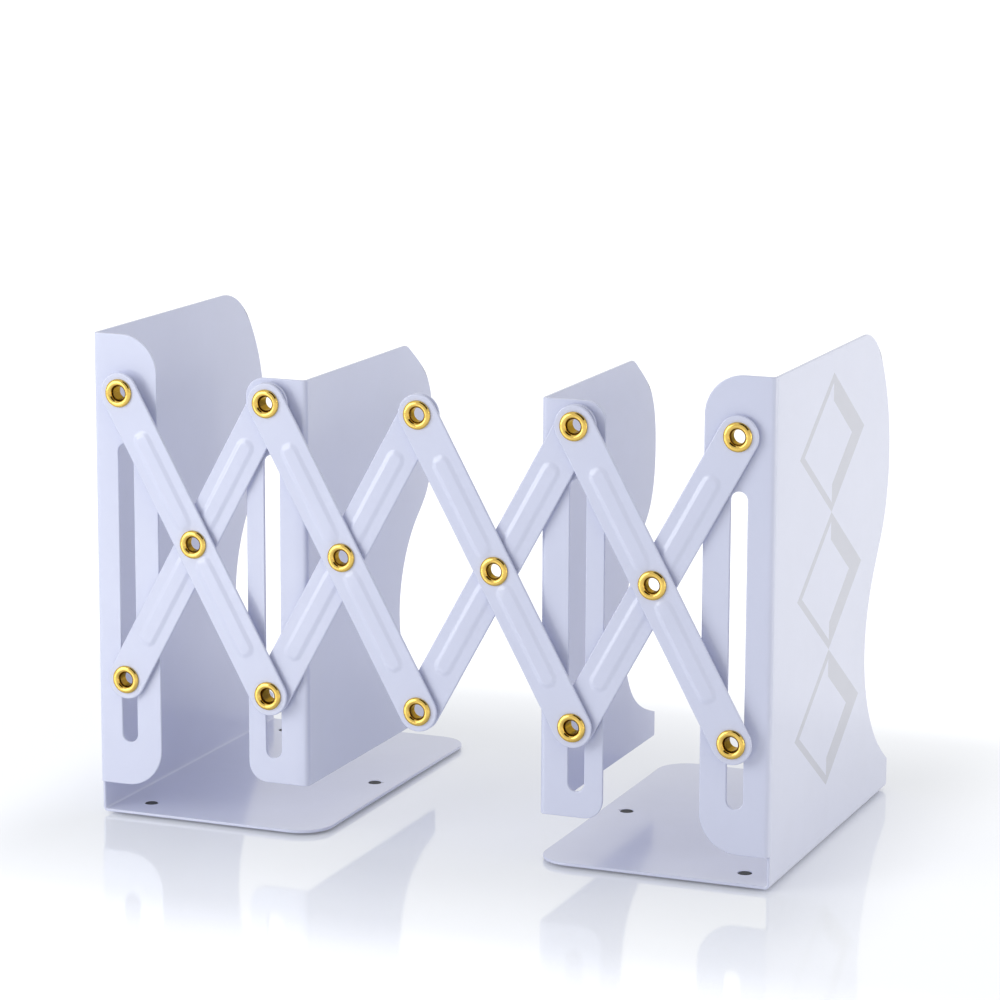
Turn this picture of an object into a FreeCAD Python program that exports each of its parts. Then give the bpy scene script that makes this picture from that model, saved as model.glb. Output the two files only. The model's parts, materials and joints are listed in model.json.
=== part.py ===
import FreeCAD, Part
import math
import os

Vector = FreeCAD.Vector

# An extending bookend: two end plates and two dividers of folded sheet steel, carried along
# one front by a lazy-tongs linkage of eight pressed links on rolled eyelets.
# Millimetres. X runs along the extension, Y is depth with the linkage in front, Z is up.
# The origin is under the middle of the whole object.

# Sheet stock
plate_sheet = 1.2
link_sheet = 1.2
bend_inner_radius = 0.8

# Links
link_span = 128.5
link_width = 15.6
joint_pitch = 61.8
bay_count = 4
rib_width = 7.4
rib_slope_run = 1.1
rib_height = 0.8
rib_edge_radius = 0.35
rib_root = 0.3
rib_start_shares = (0.125, 0.575)
rib_end_shares = (0.425, 0.865)

# Eyelets
bore_radius = 2.6
barrel_radius = 3.0
head_radius = 5.45
head_height = 1.3
tail_radius = 4.8
tail_height = 0.9

# Washers on the eyelets
link_washer_radius = 5.0
link_washer_thickness = 1.15
plate_washer_radius = 5.3
plate_washer_thickness = 1.2
slot_washer_radius = 5.6
slot_washer_thickness = 0.8

# Clearances
running_clearance = 0.05
face_clearance = 0.05
slot_clearance = 0.2
slot_end_clearance = 0.25
base_gap = 5.0

# End plates
base_length = 93.0
end_depth = 155.0
end_wave_depth = 35.3
end_foot_height = 12.0
end_flange_width = 27.0
end_pin_inset = 13.4
end_corner_radius = 15.0
base_corner_radius = 13.0
flange_lift = 12.5
flange_below_slot = 17.3
flange_above_pin = 22.0
slot_spare_length = 13.25
open_pitch_share = 0.983

# Dividers
divider_depth = 124.5
divider_wave_depth = 36.4
divider_foot_height = 10.0
divider_flange_width = 25.0
divider_pin_inset = 14.4
divider_corner_radius = 7.5
divider_below_slot = 10.0
divider_above_pin = 9.0

# Wavy rear edges from the top down: each point is a setback, as a share of the wave depth,
# and a height, as a share of the panel height. The last point is at the foot height.
end_wave_shares = (
    (1.26, 1.0), (0.88, 0.982), (0.44, 0.894), (0.194, 0.721), (0.362, 0.587), (0.76, 0.479),
    (1.0, 0.319), (0.46, 0.124),
)
divider_wave_shares = (
    (0.84, 1.0), (0.705, 0.987), (0.174, 0.88), (0.069, 0.758), (0.262, 0.596), (0.554, 0.537),
    (0.904, 0.424), (0.991, 0.281), (0.74, 0.149),
)

# Rubber feet
foot_pad_radius = 4.5
foot_pad_height = 1.0
foot_stem_radius = 2.5
foot_inner_inset = 10.0
foot_outer_inset = 14.0
foot_end_inset = 16.0

# Worked out: heights
outer_bend_radius = bend_inner_radius + plate_sheet
base_bottom = foot_pad_height
shut_pitch = (base_length + base_gap / 2 - end_pin_inset) * 2 / bay_count
shut_height = math.sqrt(link_span ** 2 - shut_pitch ** 2)
open_height = math.sqrt(link_span ** 2 - (link_span * open_pitch_share) ** 2)
joint_height = math.sqrt(link_span ** 2 - joint_pitch ** 2)
link_angle = math.degrees(math.asin(joint_pitch / link_span))
end_flange_bottom = base_bottom + flange_lift
slot_bottom = end_flange_bottom + flange_below_slot
lowest_pin = slot_bottom + slot_spare_length + barrel_radius + slot_end_clearance
top_pin = lowest_pin + shut_height
bottom_pin = top_pin - joint_height
middle_pin = (top_pin + bottom_pin) / 2
slot_top = top_pin - open_height + barrel_radius + slot_end_clearance
end_top = top_pin + flange_above_pin
divider_bottom = slot_bottom - divider_below_slot
divider_top = top_pin + divider_above_pin

# Worked out: places in front of the plates, counted forwards from their front faces
rear_link_back = face_clearance + plate_washer_thickness + face_clearance
rear_link_front = rear_link_back + link_sheet
front_link_back = rear_link_front + face_clearance + link_washer_thickness
front_link_front = front_link_back + link_sheet
front_reach = front_link_front + head_height
plate_front = (front_reach - end_depth) / 2

# Worked out: places along the row
row_start = -joint_pitch * bay_count / 2
slot_half_width = barrel_radius + slot_clearance
hole_radius = barrel_radius + running_clearance


def column(index):
    """X of a column of joints, from 0 at the left end plate."""
    return row_start + index * joint_pitch


def depth_at(forwards):
    """Y of a place that lies forwards of the plates' front faces."""
    return plate_front - forwards


def rounded_outline(corners):
    """Closed wire through (point, radius) corners, each rounded by a tangent arc."""
    edges = []
    arrivals = []
    departures = []
    for index, (point, radius) in enumerate(corners):
        before = (corners[index - 1][0] - point).normalize()
        after = (corners[(index + 1) % len(corners)][0] - point).normalize()
        half_turn = before.getAngle(after) / 2
        run = radius / math.tan(half_turn)
        centre = point + (before + after).normalize() * (radius / math.sin(half_turn))
        arrival = point + before * run
        departure = point + after * run
        if radius > 0:
            middle = centre + (point - centre).normalize() * radius
            edges.append(Part.Arc(arrival, middle, departure).toShape())
        arrivals.append(arrival)
        departures.append(departure)
    for index, departure in enumerate(departures):
        arrival = arrivals[(index + 1) % len(arrivals)]
        edges.append(Part.LineSegment(departure, arrival).toShape())
    return Part.Wire(Part.__sortEdges__(edges))


def sheet(wires, thickness):
    """Flat sheet with the first wire as its outline and the others as its holes."""
    return Part.makeFace(wires, "Part::FaceMakerBullseye").extrude(thickness)


def bend(centre, first, second, run):
    """Quarter bend of the plate sheet, from direction first round to direction second."""
    half_way = (first + second).normalize()
    outer = Part.Arc(centre + first * outer_bend_radius, centre + half_way * outer_bend_radius,
                     centre + second * outer_bend_radius).toShape()
    inner = Part.Arc(centre + first * bend_inner_radius, centre + half_way * bend_inner_radius,
                     centre + second * bend_inner_radius).toShape()
    ends = []
    for way in (first, second):
        ends.append(Part.LineSegment(centre + way * outer_bend_radius,
                                     centre + way * bend_inner_radius).toShape())
    wire = Part.Wire(Part.__sortEdges__([outer, inner] + ends))
    return Part.Face(wire).extrude(run)


def pin_hole(x, y, z):
    """Round wire across Y for an eyelet barrel."""
    return Part.Wire(Part.makeCircle(hole_radius, Vector(x, y, z), Vector(0, 1, 0)))


def pin_slot(x, y):
    """Upright slot with round ends in which a bottom eyelet slides."""
    left = x - slot_half_width
    right = x + slot_half_width
    low = slot_bottom + slot_half_width
    high = slot_top - slot_half_width
    edges = [
        Part.LineSegment(Vector(left, y, low), Vector(left, y, high)).toShape(),
        Part.Arc(Vector(left, y, high), Vector(x, y, slot_top), Vector(right, y, high)).toShape(),
        Part.LineSegment(Vector(right, y, high), Vector(right, y, low)).toShape(),
        Part.Arc(Vector(right, y, low), Vector(x, y, slot_bottom), Vector(left, y, low)).toShape(),
    ]
    return Part.Wire(edges)


def flange(outside, inwards, pin_x, width, bottom, top, corner_radius):
    """Front flange: a pivot hole above and a slot below, rounded at its free corners."""
    near = outside + inwards * outer_bend_radius
    far = outside + inwards * width
    outline = rounded_outline([
        (Vector(near, plate_front, bottom), 0),
        (Vector(far, plate_front, bottom), corner_radius),
        (Vector(far, plate_front, top), corner_radius),
        (Vector(near, plate_front, top), 0),
    ])
    holes = [pin_hole(pin_x, plate_front, top_pin), pin_slot(pin_x, plate_front)]
    return sheet([outline] + holes, Vector(0, plate_sheet, 0))


def side_bend(outside, inwards, bottom, top):
    """Upright bend between the flange and the side panel."""
    centre = Vector(outside + inwards * outer_bend_radius, plate_front + outer_bend_radius, bottom)
    return bend(centre, Vector(-inwards, 0, 0), Vector(0, -1, 0), Vector(0, 0, top - bottom))


def side_panel(outside, inwards, depth, wave_depth, wave_shares, foot_height, panel_bottom,
               bottom, top):
    """Side panel with a wavy rear edge that swells, draws in and runs out to its foot."""
    front = plate_front + outer_bend_radius
    rear = plate_front + depth
    height = top - bottom
    points = []
    for setback, rise in wave_shares:
        points.append(Vector(outside, rear - setback * wave_depth, bottom + rise * height))
    points.append(Vector(outside, rear, bottom + foot_height))
    wave = Part.BSplineCurve()
    level = [Vector(0, wave_depth, 0)] * len(points)
    wave.interpolate(Points=points, Tangents=level,
                     TangentFlags=[point == points[0] for point in points])
    corners = [points[-1], Vector(outside, rear, panel_bottom), Vector(outside, front, panel_bottom),
               Vector(outside, front, top), points[0]]
    edges = [wave.toShape()]
    for start, end in zip(corners, corners[1:]):
        edges.append(Part.LineSegment(start, end).toShape())
    return sheet([Part.Wire(edges)], Vector(inwards * plate_sheet, 0, 0))


def foot_places(outside, inwards):
    """Centres of an end plate's three rubber feet, seen from above."""
    inner = outside + inwards * (base_length - foot_inner_inset)
    outer = outside + inwards * foot_outer_inset
    rear = plate_front + end_depth
    return [
        (inner, plate_front + end_depth / 2),
        (outer, plate_front + foot_end_inset),
        (outer, rear - foot_end_inset),
    ]


def base(outside, inwards):
    """Base under the books, with its bend up to the side panel and its foot holes."""
    near = outside + inwards * outer_bend_radius
    far = outside + inwards * base_length
    front = plate_front + outer_bend_radius
    rear = plate_front + end_depth
    outline = rounded_outline([
        (Vector(near, front, base_bottom), 0),
        (Vector(far, front, base_bottom), base_corner_radius),
        (Vector(far, rear, base_bottom), base_corner_radius),
        (Vector(near, rear, base_bottom), 0),
    ])
    holes = []
    for x, y in foot_places(outside, inwards):
        circle = Part.makeCircle(foot_stem_radius + running_clearance, Vector(x, y, base_bottom))
        holes.append(Part.Wire(circle))
    flat = sheet([outline] + holes, Vector(0, 0, plate_sheet))
    centre = Vector(near, front, base_bottom + outer_bend_radius)
    corner = bend(centre, Vector(-inwards, 0, 0), Vector(0, 0, -1), Vector(0, rear - front, 0))
    return [flat, corner]


def joined(shapes):
    """One solid from touching pieces of the same sheet."""
    return shapes[0].multiFuse(shapes[1:]).removeSplitter()


def end_plate(pin_x, inwards):
    """End plate: flange, side panel and base, folded from one sheet."""
    outside = pin_x - inwards * end_pin_inset
    panel_bottom = base_bottom + outer_bend_radius
    return joined([
        side_panel(outside, inwards, end_depth, end_wave_depth, end_wave_shares,
                   end_foot_height, panel_bottom, base_bottom, end_top),
        side_bend(outside, inwards, end_flange_bottom, end_top),
        flange(outside, inwards, pin_x, end_flange_width, end_flange_bottom, end_top,
               end_corner_radius),
    ] + base(outside, inwards))


def divider(pin_x, inwards):
    """Divider: flange and side panel of one sheet, hung from the linkage above the bases."""
    outside = pin_x - inwards * divider_pin_inset
    return joined([
        side_panel(outside, inwards, divider_depth, divider_wave_depth, divider_wave_shares,
                   divider_foot_height, divider_bottom, divider_bottom, divider_top),
        side_bend(outside, inwards, divider_bottom, divider_top),
        flange(outside, inwards, pin_x, divider_flange_width, divider_bottom, divider_top,
               divider_corner_radius),
    ])


def strip_outline(half_width, low, high, y):
    """Upright strip outline with round ends, from low to high."""
    straight_low = low + half_width
    straight_high = high - half_width
    edges = [
        Part.LineSegment(Vector(-half_width, y, straight_low),
                         Vector(-half_width, y, straight_high)).toShape(),
        Part.Arc(Vector(-half_width, y, straight_high), Vector(0, y, high),
                 Vector(half_width, y, straight_high)).toShape(),
        Part.LineSegment(Vector(half_width, y, straight_high),
                         Vector(half_width, y, straight_low)).toShape(),
        Part.Arc(Vector(half_width, y, straight_low), Vector(0, y, low),
                 Vector(-half_width, y, straight_low)).toShape(),
    ]
    return Part.Wire(edges)


def rib(low, high, face_y):
    """Form of one pressed rib: its sloping sides rise forwards of face_y from a root behind."""
    spread = rib_root * rib_slope_run / rib_height
    root = strip_outline(rib_width / 2 + spread, low - spread, high + spread, face_y + rib_root)
    crown = strip_outline(rib_width / 2 - rib_slope_run, low + rib_slope_run,
                          high - rib_slope_run, face_y - rib_height)
    return Part.makeLoft([root, crown], True, True)


def crown_edges(shape):
    """Edges round the foremost face."""
    return min(shape.Faces, key=lambda face: face.CenterOfMass.y).Edges


def link_blank():
    """Link standing upright about its middle hole, with its back face at Y zero."""
    half = link_span / 2
    front = -link_sheet
    outline = strip_outline(link_width / 2, -half - link_width / 2, half + link_width / 2, 0)
    holes = [pin_hole(0, 0, rise) for rise in (-half, 0, half)]
    blank = sheet([outline] + holes, Vector(0, front, 0))
    hollows = []
    for start_share, end_share in zip(rib_start_shares, rib_end_shares):
        low = -half + start_share * link_span
        high = -half + end_share * link_span
        raised = rib(low, high, front)
        raised = raised.makeFillet(rib_edge_radius, crown_edges(raised))
        blank = blank.fuse(raised)
        hollows.append(rib(low, high, 0))
    for hollow in hollows:
        blank = blank.cut(hollow)
    return blank.removeSplitter()


def placed_link(blank, bay, lean, back):
    """Link of one bay, leaning by lean degrees, with its back face at the place back."""
    link = blank.copy()
    link.rotate(Vector(0, 0, 0), Vector(0, 1, 0), lean)
    link.translate(Vector(column(bay) + joint_pitch / 2, depth_at(back), middle_pin))
    return link


def eyelet(x, z, seat, tail_seat):
    """Rolled eyelet from its head on the seat to its rolled tail, both counted forwards."""
    front = depth_at(seat)
    rear = depth_at(tail_seat)
    head_middle = (bore_radius + head_radius) / 2
    tail_middle = (bore_radius + tail_radius) / 2
    edges = [
        Part.LineSegment(Vector(bore_radius, front, 0), Vector(bore_radius, rear, 0)).toShape(),
        Part.Arc(Vector(bore_radius, rear, 0), Vector(tail_middle, rear + tail_height, 0),
                 Vector(tail_radius, rear, 0)).toShape(),
        Part.LineSegment(Vector(tail_radius, rear, 0), Vector(barrel_radius, rear, 0)).toShape(),
        Part.LineSegment(Vector(barrel_radius, rear, 0), Vector(barrel_radius, front, 0)).toShape(),
        Part.LineSegment(Vector(barrel_radius, front, 0), Vector(head_radius, front, 0)).toShape(),
        Part.Arc(Vector(head_radius, front, 0), Vector(head_middle, front - head_height, 0),
                 Vector(bore_radius, front, 0)).toShape(),
    ]
    turned = Part.Face(Part.Wire(edges)).revolve(Vector(0, 0, 0), Vector(0, 1, 0), 360)
    turned.translate(Vector(x, 0, z))
    return turned


def washer(x, z, back, thickness, radius):
    """Plain washer on an eyelet barrel, with its back face at the place back."""
    circles = []
    for size in (radius, hole_radius):
        circle = Part.makeCircle(size, Vector(x, depth_at(back), z), Vector(0, 1, 0))
        circles.append(Part.Wire(circle))
    return sheet(circles, Vector(0, -thickness, 0))


def feet(pin_x, inwards):
    """Three rubber feet of one end plate, each a pad with a stem flush with the base."""
    pads = []
    for x, y in foot_places(pin_x - inwards * end_pin_inset, inwards):
        pad = Part.makeCylinder(foot_pad_radius, foot_pad_height, Vector(x, y, 0))
        stem = Part.makeCylinder(foot_stem_radius, plate_sheet, Vector(x, y, foot_pad_height))
        pads.append(pad.fuse(stem).removeSplitter())
    return Part.makeCompound(pads)


def plates():
    """The four folded plates."""
    return {
        "left_end": end_plate(column(0), 1),
        "right_end": end_plate(column(bay_count), -1),
        "left_divider": divider(column(1), -1),
        "right_divider": divider(column(bay_count - 1), 1),
        "left_end_feet": feet(column(0), 1),
        "right_end_feet": feet(column(bay_count), -1),
    }


def links():
    """Two crossed links in each bay, the front ones falling to the right."""
    blank = link_blank()
    nodes = {}
    for bay in range(bay_count):
        name = str(bay + 1)
        nodes["front_link_" + name] = placed_link(blank, bay, -link_angle, front_link_back)
        nodes["rear_link_" + name] = placed_link(blank, bay, link_angle, rear_link_back)
    return nodes


def top_joint(index):
    """Eyelet and washers of a top joint, which turns in a fixed hole of its plate."""
    x = column(index)
    name = str(index + 1)
    has_plate = index != bay_count // 2
    has_front_link = index < bay_count
    has_rear_link = index > 0
    seat = front_link_front if has_front_link else rear_link_front
    tail_seat = -plate_sheet - face_clearance if has_plate else rear_link_back - face_clearance
    nodes = {"top_eyelet_" + name: eyelet(x, top_pin, seat, tail_seat)}
    if not has_rear_link:
        nodes["top_spacer_" + name] = washer(x, top_pin, face_clearance,
                                             front_link_back - face_clearance, plate_washer_radius)
        return nodes
    if has_front_link:
        nodes["top_link_washer_" + name] = washer(x, top_pin, rear_link_front + face_clearance,
                                                  link_washer_thickness, link_washer_radius)
    if has_plate:
        nodes["top_plate_washer_" + name] = washer(x, top_pin, face_clearance,
                                                   plate_washer_thickness, plate_washer_radius)
    return nodes


def middle_joint(bay):
    """Eyelet and washer where the two links of a bay cross."""
    x = column(bay) + joint_pitch / 2
    name = str(bay + 1)
    return {
        "middle_eyelet_" + name: eyelet(x, middle_pin, front_link_front,
                                        rear_link_back - face_clearance),
        "middle_link_washer_" + name: washer(x, middle_pin, rear_link_front + face_clearance,
                                             link_washer_thickness, link_washer_radius),
    }


def bottom_joint(index):
    """Eyelet and washers of a bottom joint, which slides in the slot of its plate."""
    x = column(index)
    name = str(index + 1)
    has_plate = index != bay_count // 2
    has_front_link = index > 0
    has_rear_link = index < bay_count
    seat = front_link_front if has_front_link else rear_link_front
    slot_washer_back = -plate_sheet - face_clearance - slot_washer_thickness
    tail_seat = slot_washer_back if has_plate else rear_link_back - face_clearance
    nodes = {"bottom_eyelet_" + name: eyelet(x, bottom_pin, seat, tail_seat)}
    if has_plate:
        nodes["bottom_slot_washer_" + name] = washer(x, bottom_pin, slot_washer_back,
                                                     slot_washer_thickness, slot_washer_radius)
    if not has_rear_link:
        nodes["bottom_spacer_" + name] = washer(x, bottom_pin, face_clearance,
                                                front_link_back - face_clearance,
                                                plate_washer_radius)
        return nodes
    if has_front_link:
        nodes["bottom_link_washer_" + name] = washer(x, bottom_pin,
                                                     rear_link_front + face_clearance,
                                                     link_washer_thickness, link_washer_radius)
    if has_plate:
        nodes["bottom_plate_washer_" + name] = washer(x, bottom_pin, face_clearance,
                                                      plate_washer_thickness,
                                                      plate_washer_radius)
    return nodes


def main():
    nodes = plates()
    nodes.update(links())
    for index in range(bay_count + 1):
        nodes.update(top_joint(index))
        nodes.update(bottom_joint(index))
    for bay in range(bay_count):
        nodes.update(middle_joint(bay))
    os.makedirs("parts", exist_ok=True)
    for name, shape in nodes.items():
        shape.exportStep("parts/" + name + ".step")
    print("top pin", top_pin, "bottom pin", bottom_pin, "slot", slot_bottom, slot_top)
    print("end top", end_top, "plate front", plate_front, "link angle", link_angle)


main()
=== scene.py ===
"""Dresses the extending bookend: folded steel plates under a gloss powder coat, pressed links,
rolled brass eyelets, nylon washers and rubber feet, on a pale glossy floor in soft light."""

import json
import math

import bmesh
import bpy
import numpy as np
from mathutils import Matrix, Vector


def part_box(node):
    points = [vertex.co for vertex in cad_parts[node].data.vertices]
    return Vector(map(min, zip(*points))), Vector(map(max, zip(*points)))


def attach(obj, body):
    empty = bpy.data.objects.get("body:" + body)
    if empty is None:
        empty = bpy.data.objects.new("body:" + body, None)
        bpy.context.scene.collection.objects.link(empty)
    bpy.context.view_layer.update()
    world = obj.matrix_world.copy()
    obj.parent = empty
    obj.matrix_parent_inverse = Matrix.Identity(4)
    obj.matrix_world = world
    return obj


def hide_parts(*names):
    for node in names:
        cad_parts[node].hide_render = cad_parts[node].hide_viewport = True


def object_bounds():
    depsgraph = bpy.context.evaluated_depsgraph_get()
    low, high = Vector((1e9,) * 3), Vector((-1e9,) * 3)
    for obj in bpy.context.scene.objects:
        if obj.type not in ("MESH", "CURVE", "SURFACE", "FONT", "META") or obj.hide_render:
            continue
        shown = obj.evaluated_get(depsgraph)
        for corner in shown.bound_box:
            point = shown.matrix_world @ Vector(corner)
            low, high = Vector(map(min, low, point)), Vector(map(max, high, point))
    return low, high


bl_info = {
    "name": "Extending bookend",
    "version": (1, 0, 0),
    "blender": (4, 5, 0),
    "location": "3D View > Sidebar > Bookend",
    "description": "Builds the coated plates, pressed links, rolled eyelets and feet of a bookend",
    "category": "Add Mesh",
}

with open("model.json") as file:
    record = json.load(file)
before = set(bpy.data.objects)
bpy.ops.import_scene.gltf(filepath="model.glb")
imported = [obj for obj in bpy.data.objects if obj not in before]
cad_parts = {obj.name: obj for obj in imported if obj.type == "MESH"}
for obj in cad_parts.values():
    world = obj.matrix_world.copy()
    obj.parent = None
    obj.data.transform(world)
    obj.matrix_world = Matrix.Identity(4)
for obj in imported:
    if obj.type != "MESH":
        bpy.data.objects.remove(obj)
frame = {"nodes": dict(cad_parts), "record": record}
CAD_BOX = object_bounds()


def centre_of(node):
    """X and Z of the middle of a node."""
    low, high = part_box(node)
    return (low.x + high.x) / 2, (low.z + high.z) / 2


END_LOW, END_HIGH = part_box("right_end")
PLATE_FRONT = END_LOW.y
FIRST_COLUMN, TOP_PIN = centre_of("top_eyelet_1")
BOTTOM_PIN = centre_of("bottom_eyelet_2")[1]
PITCH = centre_of("top_eyelet_2")[0] - FIRST_COLUMN
LINK_SPAN = math.hypot(PITCH, TOP_PIN - BOTTOM_PIN)
BAYS = 4


# Settings


def metres(name, description, default):
    """Setting for a length in metres."""
    return bpy.props.FloatProperty(
        name=name, description=description, default=default, unit="LENGTH")


def degrees(name, description, value):
    """Setting for an angle, with its default in degrees."""
    return bpy.props.FloatProperty(
        name=name, description=description, default=math.radians(value), subtype="ANGLE")


def tint(name, description, default):
    """Setting for a colour."""
    return bpy.props.FloatVectorProperty(
        name=name, description=description, default=default, size=3, min=0, max=1,
        subtype="COLOR")


class BookendPlateSettings(bpy.types.PropertyGroup):
    """Sizes of the folded plates, measured inwards from the outer face and back from the front."""

    sheet: metres("Sheet", "Thickness of the plate sheet", 0.0012)
    bend: metres("Bend", "Outer radius of every fold", 0.0020)
    rim: metres("Rim", "Rounding that the coat gives a cut edge", 0.00045)
    slot_half: metres("Slot half width", "Half the width of a slot", 0.0032)
    hole: metres("Pin hole", "Radius of the hole of a top eyelet", 0.00305)
    slot_low: metres("Slot foot", "Height of the lowest point of a slot", 0.0308)
    slot_high: metres("Slot head", "Height of the highest point of a slot", 0.1487235)
    end_flange: metres("End flange", "Width of an end plate's flange", 0.027)
    end_inset: metres("End pin inset", "From the outer face to the pins", 0.0134)
    end_corner: metres("End corner", "Corner radius of an end plate's flange", 0.015)
    end_lift: metres("End flange foot", "Height of an end flange's foot", 0.0135)
    end_wave: metres("End wave", "Depth of the wave of an end plate's rear edge", 0.0353)
    end_foot: metres("End foot", "Height at which the wave meets the rear edge", 0.012)
    base_reach: metres("Base reach", "Length of a base from the outer face", 0.093)
    base_corner: metres("Base corner", "Corner radius of a base", 0.013)
    divider_flange: metres("Divider flange", "Width of a divider's flange", 0.025)
    divider_inset: metres("Divider pin inset", "From a divider's panel to its pins", 0.0144)
    divider_corner: metres("Divider corner", "Corner radius of a divider's flange", 0.0075)
    divider_depth: metres("Divider depth", "Depth of a divider", 0.1245)
    divider_wave: metres("Divider wave", "Depth of the wave of a divider's rear edge", 0.0364)
    divider_foot: metres(
        "Divider foot", "Height of the straight foot of a divider's rear edge", 0.010)
    foot_hole: metres("Foot hole", "Radius of the hole of a foot's stem", 0.00255)
    foot_side: metres("Outer feet", "From the outer face to the outer feet", 0.014)
    foot_end: metres("Feet from the ends", "From a base's ends to the outer feet", 0.016)
    foot_inner: metres("Inner foot", "From a base's inner edge to the inner foot", 0.010)


class BookendLinkSettings(bpy.types.PropertyGroup):
    """Sizes of the pressed links."""

    width: metres("Width", "Width of a link", 0.0156)
    sheet: metres("Sheet", "Thickness of the link sheet", 0.0012)
    hole: metres("Hole", "Radius of a link's three holes", 0.00305)
    rim: metres("Rim", "Rounding that the coat gives a cut edge", 0.00050)
    rib_half: metres("Rib half width", "Half the width of a rib at its foot", 0.0041)
    rib_slope: metres("Rib slope", "Width of the slope at a rib's side", 0.0023)
    rib_height: metres("Rib height", "Height of a rib over the link's face", 0.00052)


class BookendFittingSettings(bpy.types.PropertyGroup):
    """Sizes of the eyelets, washers and feet."""

    bore: metres("Bore", "Radius of an eyelet's bore", 0.0026)
    # Mouth: how far the painted shade in the bore reaches up its rounded mouth.
    mouth: metres("Mouth", "How far the dark of the bore reaches up its rounded mouth", 0.0003)
    barrel: metres("Barrel", "Outer radius of an eyelet's barrel", 0.0030)
    head: metres("Head", "Radius of an eyelet's rolled head", 0.00545)
    head_height: metres("Head height", "Height of the rolled head", 0.0013)
    head_flare: metres("Head flare", "Depth of the head's mouth below its seat", 0.0009)
    tail: metres("Tail", "Radius of an eyelet's rolled tail", 0.0048)
    tail_height: metres("Tail height", "Height of the rolled tail", 0.0009)
    tail_flare: metres("Tail flare", "Depth of the tail's mouth below its seat", 0.0005)
    tuck: metres("Tuck", "Radius of the arc that tucks in a roll's rim", 0.0003)
    ease: metres("Ease", "Small step at the crown and at the barrel's ends", 0.0001)
    play: metres("Play", "Play of a washer on its barrel", 0.00005)
    washer_rim: metres("Washer rim", "Rounding of a washer's edges", 0.00018)
    stem: metres("Stem", "Radius of a rubber foot's stem", 0.0025)
    pad: metres("Pad", "Radius of a rubber foot's pad", 0.0045)
    pad_height: metres("Pad height", "Height of a rubber foot's pad", 0.0010)
    pad_chamfer: metres("Pad chamfer", "Chamfer of the top edge of a pad", 0.00005)
    foot_rim: metres("Foot rim", "Rounding of a rubber foot's edges", 0.0003)
    dish: metres("Dish", "Depth of the hollow in the top of a stem", 0.0001)


class BookendFinishSettings(bpy.types.PropertyGroup):
    """Colours of the finishes, and the place of the print on the right end plate."""

    coat: tint("Coat", "Colour of the powder coat", (0.716, 0.74, 0.92))
    print_colour: tint("Print", "Colour of the pale lozenges", (0.55, 0.56, 0.66))
    brass: tint("Brass", "Colour of the eyelets", (0.68, 0.475, 0.122))
    nylon: tint("Nylon", "Colour of the washers", (0.74, 0.75, 0.77))
    rubber: tint("Rubber", "Colour of the feet", (0.035, 0.035, 0.038))
    print_centre: metres("Print centre", "Depth of the lozenges' middle line", -0.004)
    print_foot: metres("Print foot", "Height of the lowest lozenge's tip", 0.0235)
    print_half: metres("Print half width", "Half the width of a lozenge", 0.041)
    print_tall: metres("Print half height", "Half the height of a lozenge", 0.0265)


class BookendStageSettings(bpy.types.PropertyGroup):
    """Light, floor and camera."""

    world: bpy.props.FloatProperty(
        name="World", description="Strength of the light from all round", default=0.625, min=0)
    key: bpy.props.FloatProperty(
        name="Key", description="Power of the low lamp on the right", default=3.2, min=0,
        unit="POWER")
    fill: bpy.props.FloatProperty(
        name="Fill", description="Power of the lamp at the front left", default=3.7, min=0,
        unit="POWER")
    floor: tint("Floor", "Colour of the floor", (0.86, 0.88, 0.93))
    azimuth: degrees("Azimuth", "Turn of the camera round the object, to the right", 21.964)
    elevation: degrees("Elevation", "How far the camera looks down", 11.112)
    roll: degrees("Roll", "Turn of the camera about its own axis", 0.213)
    place: bpy.props.FloatVectorProperty(
        name="Place", description="Where the camera stands",
        default=(0.52952, -1.31012, 0.40034), size=3, subtype="TRANSLATION", unit="LENGTH")
    lens: bpy.props.FloatProperty(
        name="Lens", description="Focal length on a 36 mm sensor", default=132.78,
        subtype="DISTANCE_CAMERA")


# Outlines and surfaces

CROWDING = 1.6
WELD = 2e-6
SLIVER = 1e-7
SHARP = math.radians(50)
RIM_SEGMENTS = 3


def run(start, end, count):
    """Count points from start towards end, evenly spaced, without the end itself."""
    share = np.arange(count)[:, None] / count
    return np.asarray(start) * (1 - share) + np.asarray(end) * share


def chain(corners, counts):
    """Points of straight runs from each corner to the next, each with its count."""
    return np.concatenate([run(start, end, count)
                           for start, end, count in zip(corners, corners[1:], counts)])


def turn(centre, radius, start, end, count):
    """Count points of an arc from angle start to angle end in degrees, without its end."""
    angle = np.radians(start + (end - start) * np.arange(count) / count)
    return np.asarray(centre) + radius * np.stack((np.cos(angle), np.sin(angle)), axis=1)


def hole_edge(outline, x, low, high, radius):
    """Point of a round or slotted hole nearest to each point of an outline.

    The height is held between the two arc centres low and high, and from there the point lies
    one radius away in the outline point's direction."""
    centre = np.stack((np.full(len(outline), x), np.clip(outline[:, 1], low, high)), axis=1)
    way = outline - centre
    return centre + radius * way / np.linalg.norm(way, axis=1, keepdims=True)


def between(inner, outer, rows):
    """Grid from one closed outline to another: inner + (outer - inner) * share ** crowding."""
    share = np.linspace(0, 1, rows)[:, None, None] ** CROWDING
    return inner[None] * (1 - share) + outer[None] * share


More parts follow.
